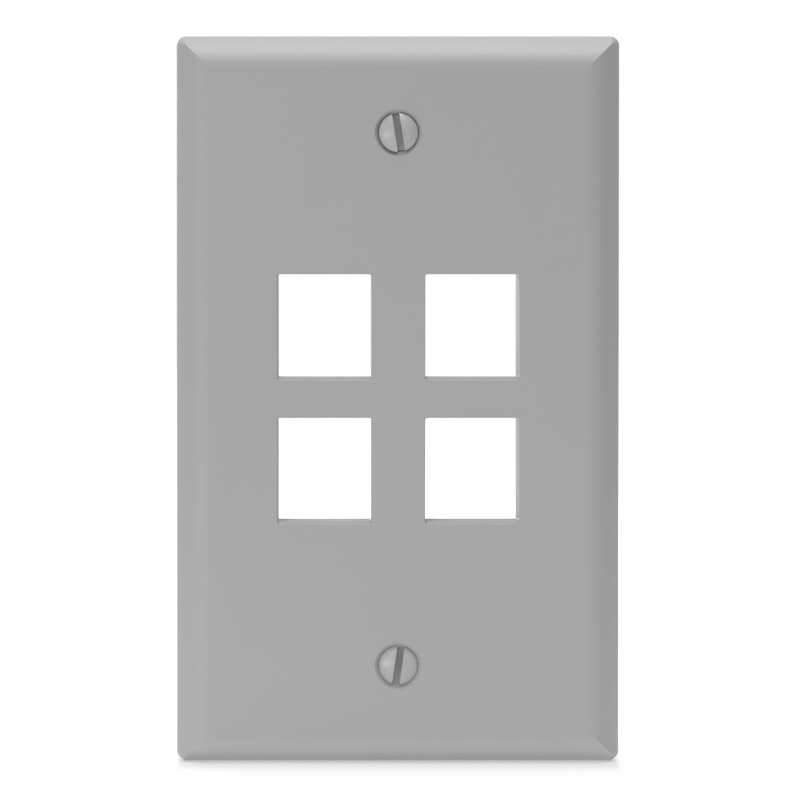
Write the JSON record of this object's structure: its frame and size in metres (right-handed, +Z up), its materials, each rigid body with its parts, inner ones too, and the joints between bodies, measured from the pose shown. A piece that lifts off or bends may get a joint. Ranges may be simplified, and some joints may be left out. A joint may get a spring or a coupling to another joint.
{
  "type": "keystone faceplate",
  "caption": "Single-gang wall plate with a bevelled rim and a grid of jack openings with snap-in frames behind, held by two slotted oval-head screws.",
  "frame": {"origin": "centre of the wall plane, which the rear rim rests on, midway between the two mounting screws", "axes": "+Y points from the visible face into the wall, along the screws; +Z is up, along the plate's long side; +X is to the right seen from the front"},
  "size_m": [0.0698, 0.0269, 0.1142],
  "materials": {
    "plate_plastic": "smooth satin moulding, mid grey",
    "screw_steel": "head painted to match the plate, zinc-plated thread"
  },
  "bodies": {
    "faceplate": {"faceplate": "plate_plastic"},
    "upper_screw": {"upper_screw": "screw_steel"},
    "lower_screw": {"lower_screw": "screw_steel"}
  },
  "joints": [
    {"name": "upper_screw_turn", "type": "hinge", "parent": "faceplate", "child": "upper_screw", "pos_m": [0, 0, 0.04167], "axis": [0, 1, 0], "continuous": true},
    {"name": "lower_screw_turn", "type": "hinge", "parent": "faceplate", "child": "lower_screw", "pos_m": [0, 0, -0.04167], "axis": [0, 1, 0], "continuous": true}
  ]
}
